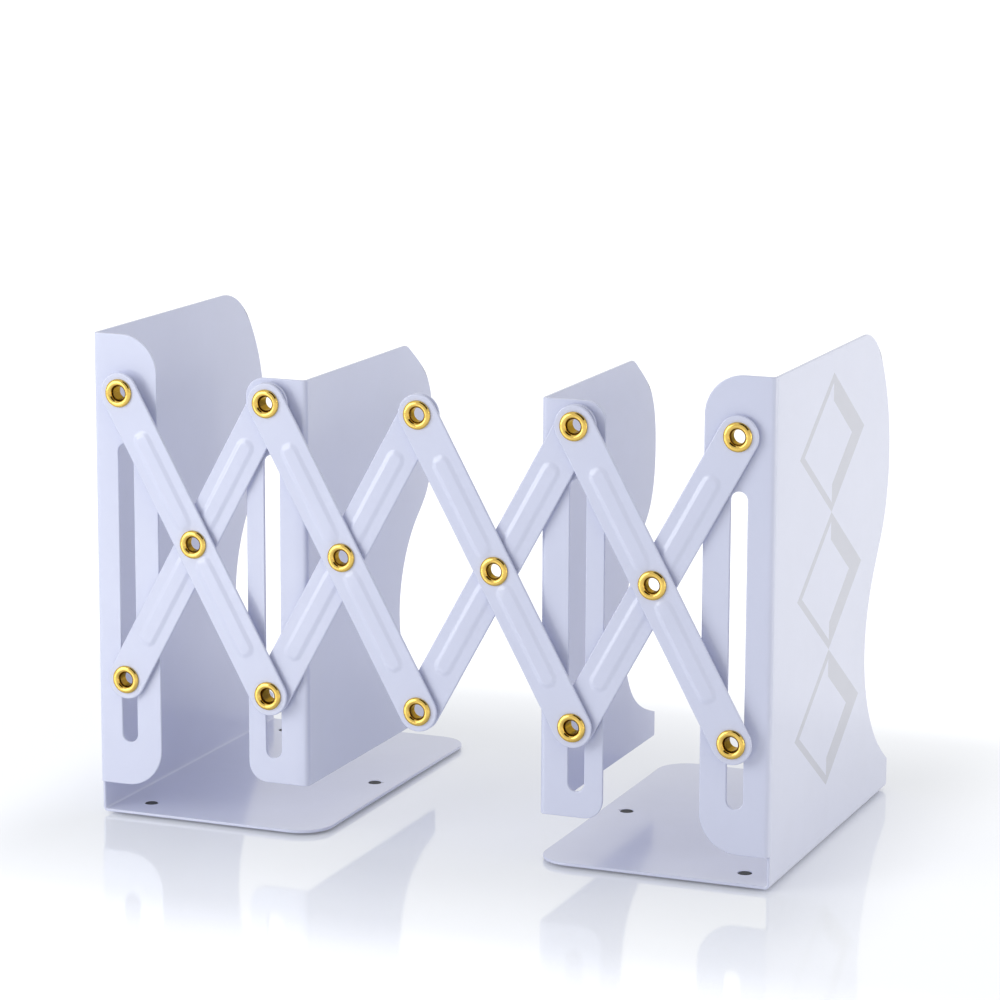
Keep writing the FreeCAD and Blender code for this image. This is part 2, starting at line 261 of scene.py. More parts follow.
def smooth_curve(points, leaving, count):
    """Smooth curve through the points, count points long, evenly spaced in chord length.

    Between two points it is a cubic. The slopes solve the linear system that makes the curve
    bend evenly across every point, with the slope leaving at the first and no bend at the last."""
    gap = np.linalg.norm(np.diff(points, axis=0), axis=1)
    size = len(points)
    system = np.zeros((size, size))
    goal = np.zeros((size, 2))
    system[0, 0] = 1
    goal[0] = leaving
    inside = np.arange(1, size - 1)
    before, after = 1 / gap[:-1], 1 / gap[1:]
    system[inside, inside - 1] = before
    system[inside, inside] = 2 * (before + after)
    system[inside, inside + 1] = after
    step = np.diff(points, axis=0)
    goal[inside] = 3 * (step[:-1] * before[:, None] ** 2 + step[1:] * after[:, None] ** 2)
    system[-1, -2:] = 1, 2
    goal[-1] = 3 * step[-1] / gap[-1]
    slope = np.linalg.solve(system, goal)
    knots = np.concatenate(([0], np.cumsum(gap)))
    at = np.linspace(0, knots[-1], count)
    piece = np.clip(np.searchsorted(knots, at, side="right") - 1, 0, size - 2)
    u = ((at - knots[piece]) / gap[piece])[:, None]
    h = gap[piece][:, None]
    return (points[piece] * (1 + 2 * u) * (1 - u) ** 2 + slope[piece] * h * u * (1 - u) ** 2
            + points[piece + 1] * u * u * (3 - 2 * u) - slope[piece + 1] * h * u * u * (1 - u))


def lift(flat, axes, place):
    """Flat points as points in space: the two axes say which coordinates they fill."""
    solid = np.empty(flat.shape[:-1] + (3,))
    solid[..., 3 - sum(axes)] = place
    solid[..., axes[0]] = flat[..., 0]
    solid[..., axes[1]] = flat[..., 1]
    return solid


def quads(rows, columns, closed):
    """Corner numbers of a grid's faces; a closed grid joins its last column to its first."""
    row = np.arange(rows - 1)[:, None]
    column = np.arange(columns if closed else columns - 1)[None, :]
    first = row * columns + column
    second = row * columns + (column + 1) % columns
    return np.stack((first, second, second + columns, first + columns), axis=-1).reshape(-1, 4)


def facing(points, faces, outwards):
    """The faces, turned over where their summed normal points against outwards."""
    a, b, c, d = (points[faces[:, k]] for k in range(4))
    normal = np.cross(c - a, d - b).sum(axis=0)
    return faces if normal @ np.asarray(outwards, float) > 0 else faces[:, ::-1]


def in_scene(name, data):
    """New object in the scene that holds the data."""
    made = bpy.data.objects.new(name, data)
    bpy.context.scene.collection.objects.link(made)
    return made


def body_of(node):
    """Name of the moving body that carries a node."""
    bodies = frame["record"]["behaviour"]["bodies"]
    return next(name for name, nodes in bodies.items() if node in nodes)


def stitched(name, patches, node, material):
    """Mesh piece from (grid, closed, outwards) patches, welded where they meet.

    The piece stands for the node and rides on its body. Outwards is a direction, or None on a
    closed form, whose faces are turned outwards together."""
    points, faces, start = [], [], 0
    for grid, closed, outwards in patches:
        flat = grid.reshape(-1, 3)
        made = quads(grid.shape[0], grid.shape[1], closed)
        if outwards is not None:
            made = facing(flat, made, outwards)
        points.append(flat)
        faces.append(made + start)
        start += len(flat)
    mesh = bpy.data.meshes.new(name)
    mesh.from_pydata(np.concatenate(points).tolist(), [], np.concatenate(faces).tolist())
    shaped = bmesh.new()
    shaped.from_mesh(mesh)
    bmesh.ops.remove_doubles(shaped, verts=shaped.verts, dist=WELD)
    bmesh.ops.dissolve_degenerate(shaped, edges=shaped.edges, dist=SLIVER)
    if patches[0][2] is None:
        bmesh.ops.recalc_face_normals(shaped, faces=shaped.faces)
    shaped.to_mesh(mesh)
    shaped.free()
    mesh.polygons.foreach_set("use_smooth", np.ones(len(mesh.polygons), bool))
    mesh.materials.append(material)
    piece = in_scene(name, mesh)
    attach(piece, body_of(node))
    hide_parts(node)
    return piece


def soften(piece, width):
    """Rounds the sharp edges of a piece."""
    bevel = piece.modifiers.new("Rounded rim", "BEVEL")
    bevel.width = width
    bevel.segments = RIM_SEGMENTS
    bevel.limit_method = "ANGLE"
    bevel.angle_limit = SHARP
    bevel.use_clamp_overlap = False
    bevel.harden_normals = True


# Plates

EDGE_CELLS = 12
FAR_CELLS = 60
UPPER_ARC_CELLS = 14
SPLIT_CELLS = 10
NEAR_CELLS = 72
UPPER_CELLS = 18
DEPTH_CELLS = 51
CORNER_CELLS = 12
FOOT_CELLS = 5
FOLD_CELLS = 8
BASE_EDGE_CELLS = 18
BASE_ARC_CELLS = 10
BASE_FAR_CELLS = 42
STRIP_CELLS = 8
FRONT_STRIP = (0, 10)
REAR_STRIP = (40, DEPTH_CELLS)
RING_ROWS = 5
BASE_RING_ROWS = 7
END_WAVE = np.array((
    (1.26, 1.0), (0.88, 0.982), (0.44, 0.894), (0.194, 0.721), (0.362, 0.587), (0.76, 0.479),
    (1.0, 0.319), (0.46, 0.124)))
DIVIDER_WAVE = np.array((
    (0.84, 1.0), (0.705, 0.987), (0.174, 0.88), (0.069, 0.758), (0.262, 0.596), (0.554, 0.537),
    (0.904, 0.424), (0.991, 0.281), (0.74, 0.149)))


def split_height(s):
    """Height of the level line halfway between the slot and the pin hole."""
    return (s.slot_high + TOP_PIN - s.hole) / 2


def flange_patches(shape, s):
    """Two grids that fill a flange, one round its slot and one round its pin hole.

    Each runs from the hole's edge to an outline of straight runs and a corner arc. They share
    the level line between slot and hole."""
    near, far, r = s.bend, shape["flange"], shape["corner"]
    low, high, pin = shape["flange_low"], shape["high"], shape["inset"]
    split = split_height(s)
    lower = np.concatenate((
        run((near, low), (far - r, low), EDGE_CELLS),
        turn((far - r, low + r), r, -90, 0, EDGE_CELLS),
        chain(((far, low + r), (far, split), (near, split), (near, low)),
              (FAR_CELLS, SPLIT_CELLS, NEAR_CELLS))))
    upper = np.concatenate((
        chain(((near, split), (far, split), (far, high - r)), (SPLIT_CELLS, EDGE_CELLS)),
        turn((far - r, high - r), r, 0, 90, UPPER_ARC_CELLS),
        chain(((far - r, high), (near, high), (near, split)), (EDGE_CELLS, UPPER_CELLS))))
    slot = hole_edge(lower, pin, s.slot_low + s.slot_half, s.slot_high - s.slot_half,
                     s.slot_half)
    hole = hole_edge(upper, pin, TOP_PIN, TOP_PIN, s.hole)
    return [(lift(between(inner, outer, RING_ROWS), (0, 2), 0), True, (0, -1, 0))
            for inner, outer in ((slot, lower), (hole, upper))]


def front_heights(shape, s):
    """Heights of the rows along the fold between flange and side panel."""
    split = split_height(s)
    return np.concatenate((np.linspace(shape["flange_low"], split, NEAR_CELLS + 1),
                           np.linspace(split, shape["high"], UPPER_CELLS + 1)[1:]))


def quarter_round(radius):
    """Places of the points of a fold: radius - radius * sin(angle), which falls from the radius
    to nothing, and radius - radius * cos(angle), which grows from nothing to the radius."""
    angle = np.linspace(0, math.pi / 2, FOLD_CELLS + 1)
    return radius - radius * np.sin(angle), radius - radius * np.cos(angle)


def side_fold(shape, s):
    """Quarter round from the flange to the side panel: a grid of angle by height."""
    falling, growing = quarter_round(s.bend)
    rows = front_heights(shape, s)
    grid = np.empty((len(falling), len(rows), 3))
    grid[..., 0] = falling[:, None]
    grid[..., 1] = growing[:, None]
    grid[..., 2] = rows[None, :]
    return grid, False, (-1, -1, 0)


def filled(bottom, top, front, rear):
    """Grid that fills the four edges of a panel.

    It is the surface ruled from bottom to top, plus the one ruled from front to rear, less the
    one that the four corners alone give."""
    back = np.linspace(0, 1, len(bottom))[:, None, None]
    rise = np.linspace(0, 1, len(front))[None, :, None]
    upright = bottom[:, None] * (1 - rise) + top[:, None] * rise
    level = front[None] * (1 - back) + rear[None] * back
    corners = ((bottom[0] * (1 - back) + bottom[-1] * back) * (1 - rise)
               + (top[0] * (1 - back) + top[-1] * back) * rise)
    return upright + level - corners


def side_patch(shape, s):
    """Side panel between its straight front edge and its wavy rear edge.

    The rear edge rises straight from the bottom to the foot and then follows a smooth curve
    through points set back by shares of the wave's depth, at shares of the panel's height. Where
    the curve rounds the upper corner it belongs to the grid's top edge."""
    heights = front_heights(shape, s)
    if shape["panel_low"] < shape["flange_low"]:
        below = np.linspace(shape["panel_low"], heights[0], FOOT_CELLS + 1)[:-1]
        heights = np.concatenate((below, heights))
    low, high, depth = shape["low"], shape["high"], shape["depth"]
    setback, rise = shape["wave_shares"].T
    points = np.stack((depth - setback * shape["wave"], low + rise * (high - low)), axis=1)
    points = np.concatenate((points, [(depth, low + shape["foot"])]))
    wave = smooth_curve(points, (1.0, 0.0), len(heights) - FOOT_CELLS + CORNER_CELLS)
    rear = np.concatenate((run((depth, shape["panel_low"]), points[-1], FOOT_CELLS),
                           wave[CORNER_CELLS:][::-1]))
    top = np.concatenate((run((s.bend, high), points[0], DEPTH_CELLS - CORNER_CELLS),
                          wave[:CORNER_CELLS + 1]))
    front = np.stack((np.full(len(heights), s.bend), heights), axis=1)
    back = np.linspace(s.bend, depth, DEPTH_CELLS + 1)
    bottom = np.stack((back, np.full(len(back), shape["panel_low"])), axis=1)
    return lift(filled(bottom, top, front, rear), (1, 2), 0), False, (-1, 0, 0)


def base_patches(shape, s):
    """Base with its fold: grids round each foot hole and a plain one between the outer two.

    The holes of the two outer feet lie in a strip next to the fold, and that of the inner foot
    in the rest of the base."""
    level, depth, reach, r = shape["low"], shape["depth"], s.base_reach, s.base_corner
    falling, growing = quarter_round(s.bend)
    back = np.linspace(s.bend, depth, DEPTH_CELLS + 1)
    fold = np.empty((len(falling), len(back), 3))
    fold[..., 0] = growing[:, None]
    fold[..., 1] = back[None, :]
    fold[..., 2] = level + falling[:, None]
    patches = [(fold, False, (-1, 0, -1))]
    near, middle = s.bend, 2 * s.foot_side - s.bend
    for (first, last), centre in ((FRONT_STRIP, s.foot_end), (REAR_STRIP, depth - s.foot_end)):
        ring = chain(((near, back[first]), (middle, back[first]), (middle, back[last]),
                      (near, back[last]), (near, back[first])),
                     (STRIP_CELLS, last - first) * 2)
        edge = hole_edge(ring, s.foot_side, centre, centre, s.foot_hole)
        patches.append((lift(between(edge, ring, RING_ROWS), (0, 1), level), True, (0, 0, -1)))
    across = np.linspace(near, middle, STRIP_CELLS + 1)
    between_feet = back[FRONT_STRIP[1]:REAR_STRIP[0] + 1]
    plain = np.stack(np.meshgrid(across, between_feet, indexing="ij"), axis=-1)
    patches.append((lift(plain, (0, 1), level), False, (0, 0, -1)))
    ring = np.concatenate((
        run((middle, near), (reach - r, near), BASE_EDGE_CELLS),
        turn((reach - r, near + r), r, -90, 0, BASE_ARC_CELLS),
        run((reach, near + r), (reach, depth - r), BASE_FAR_CELLS),
        turn((reach - r, depth - r), r, 0, 90, BASE_ARC_CELLS),
        chain(((reach - r, depth), (middle, depth), (middle, near)),
              (BASE_EDGE_CELLS, DEPTH_CELLS))))
    edge = hole_edge(ring, reach - s.foot_inner, depth / 2, depth / 2, s.foot_hole)
    patches.append((lift(between(edge, ring, BASE_RING_ROWS), (0, 1), level), True, (0, 0, -1)))
    return patches


def folded_plate(name, node, pin_x, inwards, shape, material):
    """Plate of one sheet: flange, fold and side panel, and a base where the shape has one."""
    s = bpy.context.scene.bookend_plates
    patches = flange_patches(shape, s) + [side_fold(shape, s), side_patch(shape, s)]
    if shape["base"]:
        patches += base_patches(shape, s)
    outside = pin_x - inwards * shape["inset"]
    placed = []
    for grid, closed, outwards in patches:
        grid[..., 0] = outside + inwards * grid[..., 0]
        grid[..., 1] += PLATE_FRONT
        placed.append((grid, closed, (inwards * outwards[0],) + tuple(outwards[1:])))
    piece = stitched(name, placed, node, material)
    wall = piece.modifiers.new("Sheet", "SOLIDIFY")
    wall.thickness = s.sheet
    wall.offset = -1
    wall.use_even_offset = True
    soften(piece, s.rim)


class BOOKEND_OT_end_plates(bpy.types.Operator):
    """Folds the two end plates"""

    bl_idname = "bookend.end_plates"
    bl_label = "End plates"

    def execute(self, context):
        s = context.scene.bookend_plates
        shape = {
            "flange": s.end_flange, "inset": s.end_inset, "corner": s.end_corner,
            "flange_low": s.end_lift, "low": END_LOW.z, "high": END_HIGH.z,
            "panel_low": END_LOW.z + s.bend, "depth": END_HIGH.y - PLATE_FRONT,
            "wave": s.end_wave, "wave_shares": END_WAVE, "foot": s.end_foot, "base": True,
        }
        plain = coat_material("Powder coat", False)
        printed = coat_material("Printed powder coat", True)
        folded_plate("left_end_plate", "left_end", FIRST_COLUMN, 1, shape, plain)
        folded_plate("right_end_plate", "right_end", -FIRST_COLUMN, -1, shape, printed)
        return {"FINISHED"}


class BOOKEND_OT_dividers(bpy.types.Operator):
    """Folds the two dividers"""

    bl_idname = "bookend.dividers"
    bl_label = "Dividers"

    def execute(self, context):
        s = context.scene.bookend_plates
        low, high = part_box("left_divider")
        shape = {
            "flange": s.divider_flange, "inset": s.divider_inset, "corner": s.divider_corner,
            "flange_low": low.z, "low": low.z, "high": high.z, "panel_low": low.z,
            "depth": s.divider_depth, "wave": s.divider_wave, "wave_shares": DIVIDER_WAVE,
            "foot": s.divider_foot, "base": False,
        }
        plain = coat_material("Powder coat", False)
        folded_plate("left_divider_plate", "left_divider", -PITCH, -1, shape, plain)
        folded_plate("right_divider_plate", "right_divider", PITCH, 1, shape, plain)
        return {"FINISHED"}


# Links

SQUARE_CELLS = 10
SQUARE_ROWS = 9
STEM_CELLS = 5
ARCH_CELLS = 40
RIBBED_ROWS = 16
RIB_TIP_SHARES = (-1.3, 0.1)
SLOPE_SHARES = np.concatenate((np.linspace(0.20, 0.55, 16), (0.61, 0.72, 0.87, 1.0)))
RIB_STARTS = np.array((0.125, 0.543)) - 0.5
RIB_ENDS = np.array((0.457, 0.872)) - 0.5


def rib_rise(across, along, s):
    """Height of the pressed ribs over a link's face.

    It grows from nothing to the full height as the distance to a rib's middle line falls from
    half its width by the width of its slope, along the curve x * x * (3 - 2 * x)."""
    rise = np.zeros(across.shape)
    for start, end in zip(RIB_STARTS * LINK_SPAN, RIB_ENDS * LINK_SPAN):
        line = np.clip(along, start + s.rib_half, end - s.rib_half)
        share = np.clip((s.rib_half - np.hypot(across, along - line)) / s.rib_slope, 0, 1)
        rise += share * share * (3 - 2 * share)
    return rise * s.rib_height


def rib_rows(end, s):
    """Distances from the middle hole at which a ribbed stretch has its rows, closer together
    where the rib's outer end falls."""
    fine = end + s.rib_half * np.linspace(*RIB_TIP_SHARES, RIBBED_ROWS)
    plain = np.linspace(s.width / 2, fine[0], RIBBED_ROWS)
    return np.concatenate((plain, fine[1:], [(LINK_SPAN - s.width) / 2]))


def link_plan(s):
    """Flat (grid, closed) surfaces that fill an upright link, and the outline round them all.

    A square grid lies round the middle hole, an arched one round each end hole, and a plain
    one under each rib. Neighbours share the points of the line where they meet."""
    half, end = s.width / 2, LINK_SPAN / 2
    across = half * np.concatenate((-SLOPE_SHARES[::-1], [0], SLOPE_SHARES))
    line = np.stack((across, np.full(len(across), half)), axis=1)
    below = (line * (1, -1))[:-1]
    square = np.concatenate((line[::-1][:-1], run((-half, half), (-half, -half), SQUARE_CELLS),
                             below, run((half, -half), (half, half), SQUARE_CELLS)))
    arch = np.concatenate((turn((0, 0), half, 0, 180, ARCH_CELLS),
                           run((-half, 0), (-half, -half), STEM_CELLS), below,
                           run((half, -half), (half, 0), STEM_CELLS)))
    grids = [(between(hole_edge(square, 0, 0, 0, s.hole), square, SQUARE_ROWS), True)]
    cap = between(hole_edge(arch, 0, 0, 0, s.hole), arch, RING_ROWS)
    upper = rib_rows(RIB_ENDS[1] * LINK_SPAN, s)
    lower = rib_rows(-RIB_STARTS[0] * LINK_SPAN, s)
    for sign, rows in ((1, upper), (-1, lower)):
        grids.append((cap * (1, sign) + (0, sign * end), True))
        grids.append((np.stack(np.meshgrid(across, rows * sign, indexing="ij"), axis=-1), False))
    ends = end - half + half * np.arange(1, STEM_CELLS) / STEM_CELLS
    middle = half - 2 * half * np.arange(1, SQUARE_CELLS) / SQUARE_CELLS
    heights = np.concatenate((-ends[::-1], -lower[::-1], middle[::-1], upper, ends))
    right = np.stack((np.full(len(heights), half), heights), axis=1)
    outline = np.concatenate((turn((0, end), half, 0, 180, ARCH_CELLS), [(-half, end)],
                              right[::-1] * (-1, 1),
                              turn((0, -end), half, 180, 360, ARCH_CELLS),
                              [(half, -end)], right))
    return grids, outline


def pressed_link(name, node, x, lean, material):
    """Link with its ribs raised to the front and hollow behind, leaning about its middle.

    Front and rear are the same height field one sheet apart, and a rim joins their edges."""
    s = bpy.context.scene.bookend_links
    grids, outline = link_plan(s)
    patches = []
    for flat, closed in grids:
        rise = rib_rise(flat[..., 0], flat[..., 1], s)
        front = lift(flat, (0, 2), -rise - s.sheet)
        rear = lift(flat, (0, 2), -rise)
        patches += [(front, closed), (rear, closed)]
        if closed:
            patches.append((np.stack((front[0], rear[0])), True))
    patches.append((np.stack((lift(outline, (0, 2), -s.sheet), lift(outline, (0, 2), 0))), True))
    turned = np.array(Matrix.Rotation(lean, 3, "Y")).T
    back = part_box(node)[1].y
    place = np.array((x, back, (TOP_PIN + BOTTOM_PIN) / 2))
    placed = [(grid @ turned + place, closed, None) for grid, closed in patches]
    piece = stitched(name, placed, node, material)
    soften(piece, s.rim)


class BOOKEND_OT_links(bpy.types.Operator):
    """Presses the eight links, two crossed in each bay"""

    bl_idname = "bookend.links"
    bl_label = "Links"

    def execute(self, context):
        material = coat_material("Powder coat", False)
        lean = math.asin(PITCH / LINK_SPAN)
        for bay in range(BAYS):
            x = FIRST_COLUMN + (bay + 0.5) * PITCH
            for kind, turned in (("front", -lean), ("rear", lean)):
                node = f"{kind}_link_{bay + 1}"
                pressed_link(f"{node}_pressing", node, x, turned, material)
        return {"FINISHED"}


# Eyelets, washers and feet

EYELET_STEPS = 72
WASHER_STEPS = 48
FOOT_STEPS = 40
TAIL_MOUTH_POINTS = 10
HEAD_MOUTH_POINTS = 16
HEAD_POINTS = 14
TAIL_POINTS = 9
TUCK_POINTS = 5
WASHER_POINTS = 4
FOOT_POINTS = 5


def quarter(centre, width, height, start, end, count):
    """Part of an ellipse as a profile: centre + (width * cos, height * sin) of the angle."""
    angle = np.radians(np.linspace(start, end, count))
    return np.stack((centre[0] + width * np.cos(angle), centre[1] + height * np.sin(angle)),
                    axis=1)


def turned_form(profile, centre, axis, steps):
    """Grid of a profile of (radius, place along the axis) carried round a circle.

    The other two coordinates are the centre's, plus radius times cosine and sine."""
    angle = np.linspace(0, 2 * math.pi, steps, endpoint=False)
    first, second = [k for k in range(3) if k != axis]
    grid = np.empty((len(profile), steps, 3))
    grid[..., first] = centre[0] + profile[:, :1] * np.cos(angle)
    grid[..., second] = centre[1] + profile[:, :1] * np.sin(angle)
    grid[..., axis] = profile[:, 1:]
    return grid


def eyelet_profile(s, front, rear):
    """Closed profile of a rolled eyelet between the front of its head and its rear.

    A quarter of an ellipse opens the bore into the crown of the head, a second one falls to
    the rim, and a small arc tucks the rim in to the seat. The tail is the same, smaller."""
    tuck, ease = s.tuck, s.ease
    head_crown = (s.bore + s.head) / 2 + ease
    tail_crown = (s.bore + s.tail) / 2
    seat, tail_seat = front + s.head_height, rear - s.tail_height
    return np.concatenate((
        quarter((tail_crown, tail_seat - s.tail_flare), tail_crown - s.bore,
                s.tail_height + s.tail_flare, 90, 180, TAIL_MOUTH_POINTS),
        quarter((head_crown, seat + s.head_flare), head_crown - s.bore,
                s.head_height + s.head_flare, 180, 270, HEAD_MOUTH_POINTS),
        quarter((head_crown, seat - tuck), s.head - head_crown, s.head_height - tuck,
                -90, 0, HEAD_POINTS)[1:],
        quarter((s.head - tuck, seat - tuck), tuck, tuck, 0, 90, TUCK_POINTS)[1:],
        [(s.barrel + ease, seat), (s.barrel, seat + ease),
         (s.barrel, tail_seat - ease), (s.barrel + ease, tail_seat)],
        quarter((s.tail - tuck, tail_seat + tuck), tuck, tuck, -90, 0, TUCK_POINTS),
        quarter((tail_crown, tail_seat + tuck), s.tail - tail_crown, s.tail_height - tuck,
                0, 90, TAIL_POINTS)[1:]))


def paint_bore_shade(piece, centre, s):
    """Attribute Bore of an eyelet, the mask of the painted shade in its bore: one up to half the
    mouth from the bore's surface, and from there it falls to nothing over the other half."""
    mesh = piece.data
    place = np.empty(len(mesh.vertices) * 3)
    mesh.vertices.foreach_get("co", place)
    place = place.reshape(-1, 3)
    away = np.hypot(place[:, 0] - centre[0], place[:, 2] - centre[1])
    inside = np.clip((s.bore + s.mouth - away) / (s.mouth / 2), 0, 1)
    mesh.attributes.new("Bore", "FLOAT", "POINT").data.foreach_set("value", inside)


class BOOKEND_OT_eyelets(bpy.types.Operator):
    """Rolls the fourteen brass eyelets"""

    bl_idname = "bookend.eyelets"
    bl_label = "Eyelets"

    def execute(self, context):
        s = context.scene.bookend_fittings
        material = brass_material()
        for node in sorted(n for n in frame["nodes"] if "eyelet" in n):
            low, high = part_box(node)
            centre = centre_of(node)
            grid = turned_form(eyelet_profile(s, low.y, high.y), centre, 1, EYELET_STEPS)
            piece = stitched(f"{node}_rolled", [(grid, True, None)], node, material)
            # Bore attribute: where the painted shade of the bore falls.
            paint_bore_shade(piece, centre, s)
        return {"FINISHED"}


class BOOKEND_OT_washers(bpy.types.Operator):
    """Turns the nylon washers and spacers that keep the links apart"""

    bl_idname = "bookend.washers"
    bl_label = "Washers"

    def execute(self, context):
        s = context.scene.bookend_fittings
        material = nylon_material()
        inner, r = s.barrel + s.play, s.washer_rim
        for node in sorted(n for n in frame["nodes"] if "washer" in n or "spacer" in n):
            low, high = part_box(node)
            outer = (high.x - low.x) / 2
            corners = ((inner + r, low.y + r), (outer - r, low.y + r), (outer - r, high.y - r),
                       (inner + r, high.y - r))
            arcs = [quarter(corner, r, r, start, start + 90, WASHER_POINTS)
                    for corner, start in zip(corners, (180, 270, 0, 90))]
            profile = np.concatenate(arcs + [arcs[0][:1]])
            grid = turned_form(profile, centre_of(node), 1, WASHER_STEPS)
            stitched(f"{node}_disc", [(grid, True, None)], node, material)
        return {"FINISHED"}


class BOOKEND_OT_feet(bpy.types.Operator):
    """Moulds the three rubber feet of each end plate"""

    bl_idname = "bookend.feet"
    bl_label = "Feet"

    def execute(self, context):
        s = context.scene.bookend_fittings
        plates = context.scene.bookend_plates
        material = rubber_material()
        top, r = s.pad_height + plates.sheet, s.foot_rim
        profile = np.concatenate((
            [(0, 0), (s.pad / 2, 0)],
            quarter((s.pad - r, r), r, r, -90, 0, FOOT_POINTS),
            [(s.pad, s.pad_height - s.pad_chamfer), (s.pad - s.pad_chamfer, s.pad_height),
             (s.stem, s.pad_height)],
            quarter((s.stem - r, top - r), r, r, 0, 90, FOOT_POINTS),
            [(s.stem * 0.6, top - s.dish * 0.6), (0, top - s.dish)]))
        rear = END_HIGH.y
        for side, outside, inwards in (("left", -END_HIGH.x, 1), ("right", END_HIGH.x, -1)):
            inner = outside + inwards * (plates.base_reach - plates.foot_inner)
            outer = outside + inwards * plates.foot_side
            places = ((inner, (PLATE_FRONT + rear) / 2), (outer, PLATE_FRONT + plates.foot_end),
                      (outer, rear - plates.foot_end))
            forms = [(turned_form(profile, place, 2, FOOT_STEPS), True, None)
                     for place in places]
            node = f"{side}_end_feet"
            stitched(f"{node}_rubber", forms, node, material)
        return {"FINISHED"}


# Finishes

PRINT_DEPTH = 0.00025
LOZENGES = 3
INNER_EDGES = 0.86, 0.60


def feed(tree, node, inputs):
    """Sets inputs of a node: a socket is linked to its input, and a value is written there."""
    for key, value in inputs.items():
        if isinstance(value, bpy.types.NodeSocket):
            tree.links.new(value, node.inputs[key])
        else:
            node.inputs[key].default_value = value


def add(tree, kind, inputs=None, **settings):
    """Adds a node with its settings and inputs."""
    made = tree.nodes.new(kind)
    for key, value in settings.items():
        setattr(made, key, value)
    feed(tree, made, inputs or {})
    return made


def maths(tree, operation, first, second=0.0, third=0.0):
    """Output of a Math node."""
    return add(tree, "ShaderNodeMath", {0: first, 1: second, 2: third},
               operation=operation).outputs[0]


def vector(tree, operation, first, second=(0.0, 0.0, 0.0)):
    """Vector output of a Vector Math node."""
    return add(tree, "ShaderNodeVectorMath", {0: first, 1: second},
               operation=operation).outputs[0]


def noise(tree, place, scale, detail, roughness=0.5):
    """Output of a Noise node, between nothing and one."""
    return add(tree, "ShaderNodeTexNoise", {
        "Vector": place, "Scale": scale, "Detail": detail, "Roughness": roughness}).outputs["Fac"]


def ramp(tree, value, low, high, first, last, kind="LINEAR"):
    """Output that goes from first to last while the value goes from low to high."""
    return add(tree, "ShaderNodeMapRange", {
        "Value": value, "From Min": low, "From Max": high, "To Min": first, "To Max": last},
        interpolation_type=kind).outputs[0]


def mixed(tree, factor, first, second, blend="MIX"):
    """Colour output of a Mix node."""
    return add(tree, "ShaderNodeMix", {0: factor, 6: first, 7: second}, data_type="RGBA",
               blend_type=blend).outputs[2]


def grey(tree, value):
    """Colour output with the same value in all three channels."""
    return add(tree, "ShaderNodeCombineColor", {0: value, 1: value, 2: value}).outputs[0]


def rgba(colour):
    """A colour with full opacity."""
    return (*colour, 1.0)


def effect(name, inputs, outputs):
    """New shader node group as (group, its input node, its output node).

    Its outputs are numbers, and so are its inputs, but for the vector Place before them."""
    group = bpy.data.node_groups.new(name, "ShaderNodeTree")
    group.interface.new_socket("Place", in_out="INPUT", socket_type="NodeSocketVector")
    for way, labels in (("INPUT", inputs), ("OUTPUT", outputs)):
        for label in labels:
            group.interface.new_socket(label, in_out=way, socket_type="NodeSocketFloat")
    return group, group.nodes.new("NodeGroupInput"), group.nodes.new("NodeGroupOutput")


def placed_effect(tree, name, make, inputs):
    """Outputs of an effect as a node of a material; its group is made once."""
    group = bpy.data.node_groups.get(name) or make(name)
    return add(tree, "ShaderNodeGroup", inputs, node_tree=group).outputs


def coat_surface(name):
    """Node group for the surface of the coat.

    Height: fine ripples of a sprayed and baked coat over the slow waves of the sheet under it.
    Shade: slight drifts of the coat's thickness. Dulling: where hands and books rub it."""
    group, inside, out = effect(name, ("Ripple size", "Ripple", "Wave"),
                                ("Height", "Shade", "Dulling"))
    place, size, ripple, wave = inside.outputs[:4]
    fine = noise(group, place, maths(group, "DIVIDE", 1.0, size), 2.0, 0.45)
    slow = noise(group, place, 22.0, 1.0)
    drift = noise(group, place, 34.0, 3.0, 0.6)
    smear = noise(group, vector(group, "MULTIPLY", place, (1.0, 1.0, 0.35)), 60.0, 4.0, 0.62)
    feed(group, out, {
        "Height": maths(group, "MULTIPLY_ADD", slow, wave,
                        maths(group, "MULTIPLY", fine, ripple)),
        "Shade": ramp(group, drift, 0.3, 0.7, 0.975, 1.0),
        "Dulling": ramp(group, smear, 0.42, 0.78, 0.0, 1.0)})
    return group


def lozenge_print(name):
    """Node group for the mask of a print on an upright face.

    It is a column of open lozenges, joined tip to tip. A lozenge is where the distances from its
    centre, as shares of its half width and half height, add up to less than one. Its inner edge
    is nearer its outer one on the front side than on the rear."""
    group, inside, out = effect(
        name, ("Face", "Centre", "Foot", "Half width", "Half height"), ("Mask",))
    place, face, centre, foot, half, tall = inside.outputs[:6]
    split = add(group, "ShaderNodeSeparateXYZ", {0: place}).outputs
    across = maths(group, "DIVIDE", maths(group, "SUBTRACT", split["Y"], centre), half)
    rise = maths(group, "DIVIDE", maths(group, "SUBTRACT", split["Z"], foot), tall)
    folded = maths(group, "PINGPONG", rise, 1.0)
    beside = maths(group, "ABSOLUTE", maths(group, "SUBTRACT", 1.0, folded))
    reach = maths(group, "ADD", maths(group, "ABSOLUTE", across), beside)
    rear = maths(group, "GREATER_THAN", across, 0.0)
    inner = ramp(group, rear, 0.0, 1.0, *INNER_EDGES)
    mask = maths(group, "MULTIPLY", maths(group, "LESS_THAN", reach, 1.0),
                 maths(group, "GREATER_THAN", reach, inner))
    column = maths(group, "MULTIPLY", maths(group, "GREATER_THAN", rise, 0.0),
                   maths(group, "LESS_THAN", rise, 2.0 * LOZENGES))
    on_face = maths(group, "GREATER_THAN", split["X"], face)
    mask = maths(group, "MULTIPLY", maths(group, "MULTIPLY", mask, column), on_face)
    feed(group, out, {"Mask": mask})
    return group


